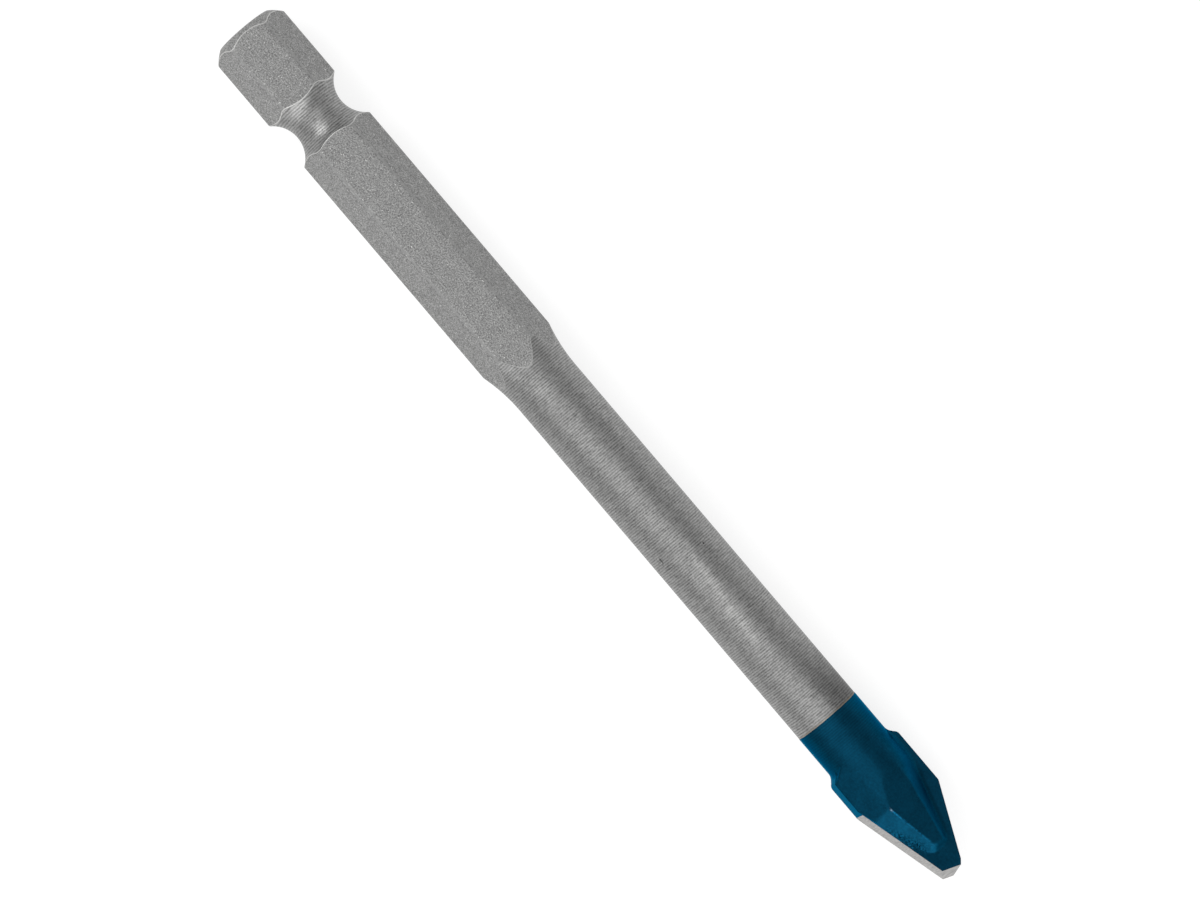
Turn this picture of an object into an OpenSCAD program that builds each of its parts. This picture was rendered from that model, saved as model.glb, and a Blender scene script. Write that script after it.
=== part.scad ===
// Glass and tile drill bit: a steel shank with a hex drive, and a carbide spear point.
// It lies along X on one flat of its hex, with the point at +X. Sizes are in millimetres.

/* [Overall] */
// Length from the rear end face to the point
overall_length = 91.35; // [75:0.05:150]

/* [Hex drive] */
// Width across the flats
hex_across_flats = 6.35; // [6.2:0.05:7.2]
// Depth that is rounded off each corner of the hex
hex_corner_relief = 0.12; // [0.02:0.01:0.25]
// Length from the rear end to where the corners start to run out
hex_length = 34.75; // [20:0.25:45]
// Radius of the concave run-out from hex to round
runout_radius = 15; // [6:0.5:25]
// Diameter of the flat in the middle of the rear end
end_flat_diameter = 5.2; // [2:0.1:5.6]
// Radius of the crown between that flat and the corners
end_crown_radius = 4.55; // [4.4:0.05:8]

/* [Detent groove] */
// Distance from the rear end to the middle of the groove
groove_setback = 9.6; // [7:0.05:14]
// Diameter of the neck at the bottom of the groove
groove_neck_diameter = 4.75; // [3.5:0.05:5.5]
// Radius of the groove's round section
groove_radius = 2.7; // [1.5:0.05:4]

/* [Shaft] */
// Diameter of the round shaft
shaft_diameter = 6; // [4.6:0.1:6.1]

/* [Cheeks] */
// Angle that the head is turned by from the flats of the hex
head_turn = 13; // [0:1:29]
// Distance from the point back to where the flat of a cheek leaves the round shaft
cheek_flat_setback = 10.5; // [7:0.1:14]
// Fall of that flat towards the point
cheek_flat_angle = 10.6; // [5:0.2:13]
// Distance from the point back to the nose of a cheek
cheek_nose_setback = 2.65; // [1.5:0.05:5]
// Steepness of the nose against the plate
cheek_nose_slope = 54; // [35:1:80]
// Width of the nose from the axis towards the lip that cuts on this face
cheek_nose_lip_width = 0.78; // [0.4:0.02:1.6]
// Width of the nose from the axis towards the heel of the other lip
cheek_nose_heel_width = 1.12; // [0.4:0.02:1.6]
// Angle between the axis and the sides of a cheek
cheek_side_angle = 17; // [12:0.5:25]
// Steepness of the side by the lip against the plate
cheek_lip_slope = 50; // [35:1:75]
// Steepness of the side by the heel
cheek_heel_slope = 58; // [35:1:75]

/* [Carbide plate] */
// Width of the plate over its margins
plate_width = 7; // [6.2:0.1:9]
// Thickness of the plate
plate_thickness = 2; // [1.2:0.1:2.6]
// Length of the plate, from its rear edge to the point
plate_length = 12.75; // [11:0.05:18]
// Length of the slanted corners at the rear of the plate
plate_corner_length = 0.55; // [0.2:0.05:1.2]
// Width of those corners
plate_corner_width = 0.6; // [0.2:0.05:1.2]
// Thickness of the braze between plate and slot
braze_film = 0.04; // [0.02:0.01:0.1]

/* [Point grind] */
// Angle between the axis and the long lip
long_lip_angle = 14.8; // [13:0.2:24]
// Angle between the axis and the short lip
short_lip_angle = 25.4; // [16:0.2:40]
// Relief of the lips behind their cutting edges
lip_relief = 4.5; // [1:0.5:8]
// Angle between the axis and the nose bevel of the long lip
long_nose_angle = 69; // [55:0.2:80]
// Relief of that bevel
long_nose_relief = 19; // [5:0.5:25]
// Distance from the axis at which the long lip meets its nose bevel
long_nose_width = 1.27; // [0.8:0.01:1.8]
// Angle between the axis and the nose bevel of the short lip
short_nose_angle = 41; // [30:0.5:60]
// Distance from the axis at which the short lip meets its nose bevel
short_nose_width = 0.58; // [0.3:0.01:1]
// Distance of the point from the axis, towards the long lip
point_offset = 0.37; // [0.1:0.01:0.6]

/* [Hidden] */
$fn = 96;

shaft_radius = shaft_diameter / 2;
hex_sharp_diameter = hex_across_flats / cos(30);
hex_corner_radius = hex_sharp_diameter / 2 - hex_corner_relief;

// The run-out is an arc that leaves the hex corners at hex_length and ends tangent to the shaft.
runout_ring_radius = shaft_radius + runout_radius;
runout_end = hex_length + sqrt(pow(runout_radius, 2) - pow(runout_ring_radius - hex_corner_radius, 2));

// The crown is part of a ball whose middle lies on the axis.
crown_centre = sqrt(pow(end_crown_radius, 2) - pow(end_flat_diameter / 2, 2));
groove_ring_radius = groove_neck_diameter / 2 + groove_radius;

// The slot takes the plate and a film of braze on each face and at the rear edge.
plate_rear = overall_length - plate_length;
slot_start = plate_rear - braze_film;
slot_width = plate_thickness + 2 * braze_film;
cheek_end = overall_length - cheek_nose_setback;

// Set-back of the inner end of each lip, where it meets its nose bevel
long_lip_setback = (long_nose_width - point_offset) / tan(long_nose_angle);
short_bevel_shift = plate_thickness * tan(lip_relief) / cos(short_nose_angle);
short_lip_setback = (short_nose_width + point_offset - short_bevel_shift) / tan(short_nose_angle);

// Room for cutting blocks to reach past what they cut
cut_size = 3 * (plate_length + plate_width);

// Moves from the working frame, with X along the axis from the rear end, to the bit's place at rest.
module in_place() {
    translate([-overall_length / 2, 0, hex_across_flats / 2])
        children();
}

// Turns the head's frame, in which the plate lies flat, to its angle against the hex.
module turned_head() {
    rotate([-head_turn, 0, 0])
        children();
}

// A bar along X from one place to another.
module bar(from, to, diameter, sides = $fn) {
    translate([from, 0, 0])
        rotate([0, 90, 0])
            rotate([0, 0, 180 / sides])
                cylinder(h = to - from, d = diameter, $fn = sides);
}

// A ring round the axis that cuts a round hollow.
module ring(at, ring_radius, section_radius) {
    translate([at, 0, 0])
        rotate([0, 90, 0])
            rotate_extrude()
                translate([ring_radius, 0])
                    circle(r = section_radius);
}

// All that lies beyond a ground plane through a point of the head. Its trace on the plate makes an
// angle with the axis, on the +Y side or the -Y side. A positive lean undercuts it below the point,
// and a negative lean slopes it away above.
module beyond_plane(point, angle, lean, side = 1) {
    translate(point)
        rotate([0, lean, side * (90 - angle)])
            translate([0, -cut_size / 2, -cut_size / 2])
                cube(cut_size);
}

// Hex bar with its corners rounded off, a crowned rear end and a run-out to the round shaft.
module hex_drive() {
    difference() {
        intersection() {
            bar(0, runout_end, hex_sharp_diameter, sides = 6);
            union() {
                translate([crown_centre, 0, 0])
                    sphere(r = end_crown_radius);
                bar(crown_centre, runout_end, 2 * end_crown_radius);
            }
            bar(0, runout_end, 2 * hex_corner_radius);
        }
        ring(runout_end, runout_ring_radius, runout_radius);
    }
}

// Slot for the plate, through the whole head.
module slot() {
    translate([slot_start, -shaft_diameter, -slot_width / 2])
        cube([plate_length, 2 * shaft_diameter, slot_width]);
}

// What is cut away from the upper side of the head to leave a tapered cheek.
module cheek_cut() {
    nose_foot = [cheek_end, 0, plate_thickness / 2];
    intersection() {
        translate([slot_start, -shaft_diameter, 0])
            cube([plate_length, 2 * shaft_diameter, shaft_diameter]);
        union() {
            beyond_plane([overall_length - cheek_flat_setback, 0, shaft_radius], 90, cheek_flat_angle - 90);
            beyond_plane(nose_foot, 90, cheek_nose_slope - 90);
            beyond_plane(nose_foot + [0, cheek_nose_lip_width, 0],
                cheek_side_angle, cheek_lip_slope - 90);
            beyond_plane(nose_foot - [0, cheek_nose_heel_width, 0],
                cheek_side_angle, cheek_heel_slope - 90, side = -1);
        }
    }
}

module shank() {
    color("#8d8e8c")
        in_place()
            difference() {
                union() {
                    hex_drive();
                    bar(hex_length, cheek_end, shaft_diameter);
                }
                ring(groove_setback, groove_ring_radius, groove_radius);
                turned_head() {
                    slot();
                    for (turn = [0, 180])
                        rotate([turn, 0, 0])
                            cheek_cut();
                }
            }
}

// Plate before grinding, with slanted corners at its rear edge.
module plate_blank() {
    half_width = plate_width / 2;
    rear_half_width = half_width - plate_corner_width;
    corner_end = plate_rear + plate_corner_length;
    linear_extrude(height = plate_thickness, center = true)
        polygon([
            [plate_rear, -rear_half_width],
            [corner_end, -half_width],
            [overall_length, -half_width],
            [overall_length, half_width],
            [corner_end, half_width],
            [plate_rear, rear_half_width],
        ]);
}

module carbide_tip() {
    cutting_face = plate_thickness / 2;
    color("#0f4a68")
        in_place()
            turned_head()
                difference() {
                    plate_blank();
                    // The short lip cuts on the upper face, and its flank falls away below.
                    beyond_plane([overall_length - short_lip_setback, short_nose_width, cutting_face],
                        short_lip_angle, lip_relief);
                    beyond_plane([overall_length, -point_offset, -cutting_face],
                        short_nose_angle, lip_relief);
                    // The long lip cuts on the lower face, so it is ground with the plate turned over.
                    rotate([180, 0, 0]) {
                        beyond_plane([overall_length - long_lip_setback, long_nose_width, cutting_face],
                            long_lip_angle, lip_relief);
                        beyond_plane([overall_length, point_offset, cutting_face],
                            long_nose_angle, long_nose_relief);
                    }
                }
}

shank();
carbide_tip();
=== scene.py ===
# %% [markdown]
# # A drill bit for glass and tile
# The real bit is one turned steel bar with a hex drive at the rear. A carbide plate is brazed into a slot
# at the front, and that end is dipped in blue paint before the cutting edges are ground bright.
# The CAD model gives the sizes and stays where it is. This script makes two finer pieces in its place, one
# for the steel bar and one for the plate, and gives them their metal and paint.

# %% Load the CAD frame
import functools
import math

import bmesh
import bpy
from mathutils import Matrix, Vector


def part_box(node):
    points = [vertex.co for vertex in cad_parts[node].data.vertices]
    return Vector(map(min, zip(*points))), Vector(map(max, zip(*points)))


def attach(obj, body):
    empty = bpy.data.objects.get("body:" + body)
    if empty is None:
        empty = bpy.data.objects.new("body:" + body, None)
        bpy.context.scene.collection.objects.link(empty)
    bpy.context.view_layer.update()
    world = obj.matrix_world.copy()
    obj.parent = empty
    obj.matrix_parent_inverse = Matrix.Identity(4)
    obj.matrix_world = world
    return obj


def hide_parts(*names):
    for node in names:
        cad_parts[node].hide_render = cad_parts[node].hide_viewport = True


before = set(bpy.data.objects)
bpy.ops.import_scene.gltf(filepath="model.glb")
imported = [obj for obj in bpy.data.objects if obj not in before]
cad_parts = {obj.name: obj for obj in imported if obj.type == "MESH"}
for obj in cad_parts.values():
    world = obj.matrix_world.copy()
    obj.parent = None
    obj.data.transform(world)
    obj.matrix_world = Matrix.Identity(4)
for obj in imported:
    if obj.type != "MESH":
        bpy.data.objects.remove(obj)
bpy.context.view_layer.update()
MM = 0.001

shank_low, shank_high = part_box("shank")
tip_low, tip_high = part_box("carbide_tip")
rear_end = shank_low.x / MM
across_flats = (shank_high.z - shank_low.z) / MM
overall_length = (tip_high.x - shank_low.x) / MM
plate_length = (tip_high.x - tip_low.x) / MM
axis_height = across_flats / 2
print(f"bit {overall_length:.2f} mm long, hex {across_flats:.2f} mm, plate {plate_length:.2f} mm long")

# %% [markdown]
# ## Helpers
# Colours are easier to pick as sRGB hex codes, as in any paint program, but Blender's sockets take linear
# light, so one function turns the one into the other. Node trees are long when every link is a line of its
# own, so a second function adds a node, sets it up and links it in one call. The others are short names for
# steps that come up often: an empty material, a product, a dot product, and a place along the bit.

# %% Colour and node helpers
def linear(hex_code):
    """The linear colour, with full alpha, of an sRGB hex code such as #8f908f."""
    channels = [int(hex_code[place:place + 2], 16) / 255 for place in (1, 3, 5)]
    return [c / 12.92 if c <= 0.04045 else ((c + 0.055) / 1.055) ** 2.4 for c in channels] + [1.0]


def add_node(tree, kind, *in_order, by_name=None, **settings):
    """Adds a node with its settings. Inputs come in order or by name: nodes are linked, values are set."""
    node = tree.nodes.new(kind)
    for name, value in settings.items():
        setattr(node, name, value)
    sockets = [socket for socket in node.inputs if socket.enabled]
    wanted = list(zip(sockets, in_order))
    for name, value in (by_name or {}).items():
        wanted.append((next(socket for socket in sockets if socket.name == name), value))
    for socket, value in wanted:
        if isinstance(value, bpy.types.Node):
            value = next(output for output in value.outputs if output.enabled)
        if isinstance(value, bpy.types.NodeSocket):
            tree.links.new(value, socket)
        elif value is not None:
            socket.default_value = value
    return node


def empty_material(name):
    """A material with no nodes yet, and the node adder for its tree."""
    material = bpy.data.materials.new(name)
    material.use_nodes = True
    material.node_tree.nodes.clear()
    return material, functools.partial(add_node, material.node_tree)


def product(node, *factors):
    """Multiplies any number of values."""
    return functools.reduce(lambda so_far, factor: node(MATH, so_far, factor, operation="MULTIPLY"), factors)


def dot(node, one, other):
    """The dot product of two vectors."""
    return node(VECTOR, one, other, operation="DOT_PRODUCT").outputs["Value"]


def from_rear(distance):
    """X in metres of a place that lies so many millimetres from the rear end."""
    return (rear_end + distance) * MM


MATH = "ShaderNodeMath"
VECTOR = "ShaderNodeVectorMath"
NOISE = "ShaderNodeTexNoise"
RANGE = "ShaderNodeMapRange"
MIX = "ShaderNodeMix"
print("mid grey", [round(c, 3) for c in linear("#8f908f")])

# %% [markdown]
# ## Camera
# The bit was photographed from straight above with a long lens, lying across the picture with its point at
# the lower right. The hex is a standard 6.35 mm, which gives the scale of a pixel, and with it the lens that
# goes with an estimated distance. A camera that isn't turned looks down -Z, so it only needs a turn about Z.

# %% Camera
CAMERA_ABOVE_AXIS = 423.6
CAMERA_OFFSET = (-0.185, -0.054)
CAMERA_TURN = 49.617
LENS = 153.6
SENSOR_WIDTH = 36.0

lens_data = bpy.data.cameras.new("camera")
lens_data.lens = LENS
lens_data.sensor_width = SENSOR_WIDTH
lens_data.clip_start = 0.01
camera = bpy.data.objects.new("camera", lens_data)
camera.location = Vector((*CAMERA_OFFSET, axis_height + CAMERA_ABOVE_AXIS)) * MM
camera.rotation_euler = (0.0, 0.0, math.radians(CAMERA_TURN))
bpy.context.collection.objects.link(camera)
bpy.context.scene.camera = camera
bpy.context.scene.view_settings.view_transform = "Standard"
view_width = CAMERA_ABOVE_AXIS * SENSOR_WIDTH / LENS
print(f"the picture is {view_width:.1f} mm wide at the bit's axis")

# %% [markdown]
# ## Floor and light
# A product table is lit so evenly that it turns white. Here the floor is a matt white that also glows for
# the camera and in reflections, so the bit still casts its faint shadow on it. The light is an even room and
# one large soft lamp that hangs overhead and towards -Y: on the round shaft it gives a pale band beside the
# middle and a darker band opposite. Smaller lamps beyond both ends light the walls of the groove, one at the
# side picks out the facets of the head, and a dim white card fills the far side.

# %% Floor
FLOOR_SIZE = 6.0
FLOOR_GLOW = 0.78

floor_paper, node = empty_material("white_table_paper")
ray = node("ShaderNodeLightPath")
seen = node(MATH, ray.outputs["Is Camera Ray"], ray.outputs["Is Glossy Ray"], operation="MAXIMUM")
seen = node(MATH, seen, ray.outputs["Is Transmission Ray"], operation="MAXIMUM")
glow = node("ShaderNodeEmission", linear("#ffffff"), node(MATH, seen, FLOOR_GLOW, operation="MULTIPLY"))
paper = node("ShaderNodeBsdfDiffuse", linear("#909090"))
node("ShaderNodeOutputMaterial", node("ShaderNodeAddShader", paper, glow))

corner = FLOOR_SIZE / 2
floor_mesh = bpy.data.meshes.new("floor")
floor_corners = [(-corner, -corner, 0), (corner, -corner, 0), (corner, corner, 0), (-corner, corner, 0)]
floor_mesh.from_pydata(floor_corners, [], [(0, 1, 2, 3)])
floor_mesh.materials.append(floor_paper)
floor = bpy.data.objects.new("floor", floor_mesh)
bpy.context.collection.objects.link(floor)
print("floor", FLOOR_SIZE, "m square")

# %% Light
ROOM_LIGHT = 0.60
LAMP_DISTANCE = 0.8
# Name, tilt from straight up and bearing from +X in degrees, width and height in degrees, brightness
LAMPS = (
    ("overhead_lamp", 15.0, -90.0, 50.0, 65.0, 0.72),
    ("side_lamp", 66.0, -52.0, 30.0, 32.0, 1.8),
    ("rear_lamp", 48.0, -157.0, 24.0, 28.0, 5.0),
    ("front_lamp", 76.0, -16.0, 36.0, 40.0, 3.0),
    ("white_card", 85.0, 90.0, 60.0, 26.0, 0.45),
)

world = bpy.data.worlds.new("room")
world.use_nodes = True
world.node_tree.nodes.clear()
room = add_node(world.node_tree, "ShaderNodeBackground", linear("#ffffff"), ROOM_LIGHT)
add_node(world.node_tree, "ShaderNodeOutputWorld", room)
bpy.context.scene.world = world

for name, *degrees, brightness in LAMPS:
    tilt, bearing, width, height = map(math.radians, degrees)
    lamp_data = bpy.data.lights.new(name, "AREA")
    lamp_data.shape = "RECTANGLE"
    lamp_data.size = 2 * LAMP_DISTANCE * math.tan(width / 2)
    lamp_data.size_y = 2 * LAMP_DISTANCE * math.tan(height / 2)
    lamp_data.energy = brightness * math.pi * lamp_data.size * lamp_data.size_y
    lamp = bpy.data.objects.new(name, lamp_data)
    towards = Vector((
        math.sin(tilt) * math.cos(bearing), math.sin(tilt) * math.sin(bearing), math.cos(tilt)))
    lamp.location = towards * LAMP_DISTANCE
    lamp.rotation_euler = (-towards).to_track_quat("-Z", "Y").to_euler()
    bpy.context.collection.objects.link(lamp)
    print(f"{name}: {lamp_data.energy:.2f} W")

# %% [markdown]
# ## Steel
# The bar is plain unplated steel. The hex is blasted, which leaves a salt-and-pepper grain of about an eighth
# of a millimetre. The groove, the run-out and the shaft are turned on a lathe, which leaves fine rings.
# One material shows both. Attributes on the mesh say how far a point is, in millimetres, from the edge where
# turning starts, from the edges that are rubbed bright and from the corners of the hex, which are burnished
# smooth. A distance stays exact between the points of the mesh, so the shader can draw a line from it that is
# thinner than a face.

# %% Steel: grain and rings
BLAST_GRAIN = 0.12
BLAST_CLOUD = 0.9
# The real rings are 0.18 mm apart. They are drawn coarser, so that the render can show them.
RING_PITCH = 0.215
RING_BREAK = 0.16
RING_STRETCH = 0.25
RING_FADE = 1.6
WAVES_PER_UNIT = 20 / math.tau
TURNED_BLEND = 0.03
# Height of the sharp hex over its rounded corners where burnishing starts and where it is full, how much it
# smooths the grain, and how far from a cut it ends
BURNISH_FROM, BURNISH_FULL = 0.045, 0.10
BURNISH_SHARE = 0.9
BURNISH_CLEAR = 0.03
# Attribute, width of the rubbed line on each side of the edge and how bright it is
WORN_LINES = {"cut_gap": (0.06, 0.62), "scallop_gap": (0.014, 0.2)}


def lathe_rings(node, place):
    """Bands along X at the pitch of the rings, with a slight wander."""
    return node("ShaderNodeTexWave", place, 1 / (RING_PITCH * MM * WAVES_PER_UNIT), by_name={
        "Distortion": 1.2, "Detail": 1.5, "Detail Scale": 1.4, "Detail Roughness": 0.6},
        wave_type="BANDS", bands_direction="X", wave_profile="SIN").outputs["Fac"]


steel, node = empty_material("blasted_and_turned_steel")
place = node("ShaderNodeTexCoord").outputs["Object"]
gaps = {name: node("ShaderNodeAttribute", attribute_name=name).outputs["Fac"]
        for name in ("turned_gap", "corner_gap", "dent", *WORN_LINES)}
turned = node(RANGE, gaps["turned_gap"], -TURNED_BLEND, TURNED_BLEND, 0.0, 1.0)
blasted = node(MATH, 1.0, turned, operation="SUBTRACT")
burnished = product(
    node, node(RANGE, gaps["corner_gap"], BURNISH_FROM, BURNISH_FULL, 0.0, BURNISH_SHARE), blasted,
    node(RANGE, gaps["cut_gap"], -BURNISH_CLEAR, 0.0, 1.0, 0.0))

grain = node(NOISE, place, 1 / (BLAST_GRAIN * MM), 2.0, 0.7)
grit = node(MIX, burnished, node(RANGE, grain, 0.35, 0.65, 0.0, 1.0), 0.5)
cloud = node(NOISE, place, 1 / (BLAST_CLOUD * MM), 2.0, 0.5)
cloud = node(RANGE, cloud, 0.25, 0.75, 0.0, 1.0)
rings = lathe_rings(node, place)
# Two noises break the rings up, one drawn out around the bar and one even, each with its share.
around = node(VECTOR, place, (1.0, RING_STRETCH, RING_STRETCH), operation="MULTIPLY")
for broken, share in ((around, 0.38), (place, 0.28)):
    breaks = node(NOISE, broken, 1 / (RING_BREAK * MM), 1.0, 0.6)
    rings = node(MIX, share, rings, node(RANGE, breaks, 0.3, 0.7, 0.0, 1.0))
fading = node(NOISE, place, 1 / (RING_FADE * MM), 1.0, 0.5)
rings = node(MIX, node(RANGE, fading, 0.38, 0.62, 0.85, 1.0), 0.5, rings)
texture = node(MIX, turned, grit, rings)
print(f"grain of {BLAST_GRAIN} mm, rings every {RING_PITCH} mm")

# %% Steel: colours, rubbed edges and painted glints
SPECK_SIZE = 0.11

# The blasted faces scatter more light to the camera, so they are the paler of the two.
pale = node(MIX, node(MIX, 0.15, grit, cloud), linear("#767676"), linear("#bcbcbb"), data_type="RGBA")
lathe = node(MIX, node(MIX, 0.05, rings, cloud), linear("#4d4d4d"), linear("#b0b0af"), data_type="RGBA")
bare = node(MIX, turned, pale, lathe, data_type="RGBA")

# Edges are rubbed bright, and painted glints on the blasted faces stand for grains of grit that catch the
# light.
# Painted glints: a few near-white specks in the colour of the blasted faces.
specks = node(NOISE, place, 1 / (SPECK_SIZE * MM), 0.0, 0.5)
wear_and_glints = product(node, node(RANGE, specks, 0.76, 0.82, 0.0, 0.7), blasted)
for name, (width, shine) in WORN_LINES.items():
    edge = node(RANGE, node(MATH, gaps[name], operation="ABSOLUTE"), 0.0, width, shine, 0.0)
    wear_and_glints = node(MATH, wear_and_glints, edge, operation="MAXIMUM")
bare = node(MIX, wear_and_glints, bare, linear("#f2f2f0"), data_type="RGBA")
print("rubbed edges:", list(WORN_LINES))

# %% Steel: painted highlight, painted shade and the paint's fringe on the shaft
PAINT_LINE = 74.37
# The painted highlight: its ends from the rear end, how far it lies off the top there, half width, waviness
# and shine
STREAK_ENDS, STREAK_OFFSETS = (56.0, 67.0), (0.08, -0.5)
STREAK_WIDTH, STREAK_WAVE, STREAK_SHINE = 0.55, 0.7, 0.22
STREAK_FADE = 2.0
# The painted shade on the +Y side before the paint line: its length, and how far to the side it starts and is
# full
FRONT_SHADE_LENGTH = 7.5
FRONT_SHADE_FROM, FRONT_SHADE_FULL = 0.5, 1.9
FRINGE = 0.14

# A wavy painted highlight lies along the top of the shaft, painted shade darkens the dents, and a band of
# painted shade lies on the +Y side just behind the paint.
place_parts = node("ShaderNodeSeparateXYZ", place)
station, side, height = (place_parts.outputs[axis] for axis in "XYZ")
streak_from, streak_to = map(from_rear, STREAK_ENDS)
streak_line = node(RANGE, station, streak_from, streak_to, *(offset * MM for offset in STREAK_OFFSETS))
wave = node(MATH, node(MATH, cloud, 0.5, operation="SUBTRACT"), STREAK_WAVE * MM, operation="MULTIPLY")
off_line = node(MATH, node(MATH, side, streak_line, operation="SUBTRACT"), wave, operation="ADD")
# Painted highlight: a pale streak in the steel's colour along the top of the shaft.
painted_highlight = product(
    node, node(RANGE, node(MATH, off_line, operation="ABSOLUTE"), 0.0, STREAK_WIDTH * MM, STREAK_SHINE, 0.0),
    node(RANGE, station, streak_from, streak_from + STREAK_FADE * MM, 0.0, 1.0),
    node(RANGE, station, streak_to - STREAK_FADE * MM, streak_to, 1.0, 0.0),
    node(MATH, height, axis_height * MM, operation="GREATER_THAN"), rings)
bare = node(MIX, painted_highlight, bare, linear("#f2f2f0"), data_type="RGBA")
# Painted shade: the dents are darkened in the steel's colour.
bare = node(MIX, node(RANGE, gaps["dent"], 0.2, 0.7, 0.0, 0.85), bare, linear("#3c3c3b"), data_type="RGBA")
line = from_rear(PAINT_LINE)
# Painted shade: the colour is darker in a band on the +Y side just behind the paint line.
painted_front_shade = product(
    node, node(RANGE, station, line - FRONT_SHADE_LENGTH * MM, line, 0.0, 1.0, interpolation_type="SMOOTHSTEP"),
    node(RANGE, side, FRONT_SHADE_FROM * MM, FRONT_SHADE_FULL * MM, 0.0, 1.0))
bare = node(MIX, painted_front_shade, bare, linear("#aeaeae"), data_type="RGBA", blend_type="MULTIPLY")

# Thinned paint leaves a tan fringe on the steel just behind the paint line.
fringe = node(RANGE, station, line - FRINGE * MM, line, 0.0, 0.5)
bare = node(MIX, fringe, bare, linear("#8c7a62"), data_type="RGBA")
print(f"rub mark {STREAK_ENDS[0]} to {STREAK_ENDS[1]} mm from the rear end")

# %% Steel: shader
GRIT_DEPTH = 0.014
BLASTED_ROUGHNESS, BURNISHED_ROUGHNESS, TURNED_ROUGHNESS = 0.78, 0.40, 0.45

bump = node("ShaderNodeBump", by_name={"Strength": 0.6, "Distance": GRIT_DEPTH * MM, "Height": texture})
roughness = node(MIX, burnished, BLASTED_ROUGHNESS, BURNISHED_ROUGHNESS)
roughness = node(MIX, turned, roughness, TURNED_ROUGHNESS)
metal = node("ShaderNodeBsdfPrincipled", by_name={
    "Base Color": bare, "Metallic": 1.0, "Roughness": roughness, "Normal": bump})
node("ShaderNodeOutputMaterial", metal)
print("steel has", len(steel.node_tree.nodes), "nodes")

# %% [markdown]
# ## Paint
# The head is dipped in a dark blue metallic lacquer that dries satin. Its fine flakes reflect the lamps like
# a metal, but only the blue part of their light, so it is a metal with a blue colour here. The specular tint
# of a metal is its colour at a grazing angle: a pale blue keeps the edges from turning white. The turned
# rings still show through as ripples. A pale line along the ridge of each cheek is a painted highlight, and
# the hollow between the cheek and the lip is darkened with painted shade.

# %% Lacquer: surface
PAINT_GRAIN = 0.2
PAINT_CLOUD = 1.4
RIPPLE_FROM, RIPPLE_TO = 76.5, 79.5
RIPPLE_SHARE = 0.3

lacquer, node = empty_material("blue_metallic_lacquer")
place = node("ShaderNodeTexCoord").outputs["Object"]
ripples = lathe_rings(node, place)
orange_peel = node(NOISE, place, 1 / (PAINT_GRAIN * MM), 2.0, 0.7)
cloud = node(NOISE, place, 1 / (PAINT_CLOUD * MM), 2.0, 0.5)
station = node("ShaderNodeSeparateXYZ", place).outputs["X"]
on_shaft = node(RANGE, station, from_rear(RIPPLE_FROM), from_rear(RIPPLE_TO), RIPPLE_SHARE, 0.0)
surface = node(MIX, on_shaft, orange_peel, ripples)
shade = node(RANGE, node(MIX, 0.4, surface, cloud), 0.3, 0.7, 0.0, 1.0)
blue = node(MIX, shade, linear("#062f43"), linear("#09415a"), data_type="RGBA")
print(f"the lathe's ripples end {RIPPLE_TO} mm from the rear end")

# %% Lacquer: painted highlight on the ridge
RIDGE_WIDTH = 0.08
RIDGE_DEPTH = 0.06
# Distances from the rear end: the line is nearly white, then blue, then weaker, and then it ends.
RIDGE_WHITE, RIDGE_BLUE, RIDGE_WEAK, RIDGE_END = 83.4, 83.8, 85.3, 88.1
RIDGE_LEFT = 0.4
RIDGE_FADE = 0.5

ridge_gap, cut_depth = (
    node("ShaderNodeAttribute", attribute_name=name).outputs["Fac"] for name in ("ridge_gap", "cut_depth"))
# Painted highlight: a pale line in the paint's colour along the ridge of each cheek.
ridge_highlight = product(
    node, node(RANGE, node(MATH, ridge_gap, operation="ABSOLUTE"), 0.0, RIDGE_WIDTH, 1.0, 0.0),
    node(RANGE, cut_depth, 0.0, RIDGE_DEPTH, 0.0, 1.0), node(RANGE, orange_peel, 0.4, 0.55, 0.3, 1.0),
    node(RANGE, station, from_rear(RIDGE_END - RIDGE_FADE), from_rear(RIDGE_END), 1.0, 0.0),
    node(RANGE, station, from_rear(RIDGE_BLUE), from_rear(RIDGE_WEAK), 1.0, RIDGE_LEFT))
whiter = node(RANGE, station, from_rear(RIDGE_WHITE), from_rear(RIDGE_BLUE), 0.7, 0.0)
ridge_highlight_colour = node(MIX, whiter, linear("#1a7fb0"), linear("#cfe0ea"), data_type="RGBA")
blue = node(MIX, ridge_highlight, blue, ridge_highlight_colour, data_type="RGBA")
print(f"the ridge ends {RIDGE_END} mm from the rear end")

# %% Lacquer: painted shade in the hollow
HEAD_TURN = 13.0
PLATE_THICKNESS = 2.0
# The hollow follows a line between two places: the distance from the rear end and the distance from the axis.
HOLLOW = ((82.0, 2.83), (88.7, 0.78))
HOLLOW_WIDTH = 0.5
HOLLOW_SHADE = 0.5
HOLLOW_FADE = 1.0
# Height over the middle plane of the plate up to which the painted shade is full, and where it ends
HOLLOW_LOW, HOLLOW_HIGH = 1.1, 1.6

half_thickness = PLATE_THICKNESS / 2
turn_sine, turn_cosine = math.sin(math.radians(HEAD_TURN)), math.cos(math.radians(HEAD_TURN))
through_plate = (0.0, turn_sine, turn_cosine)
across_plate = (0.0, turn_cosine, -turn_sine)

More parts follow.
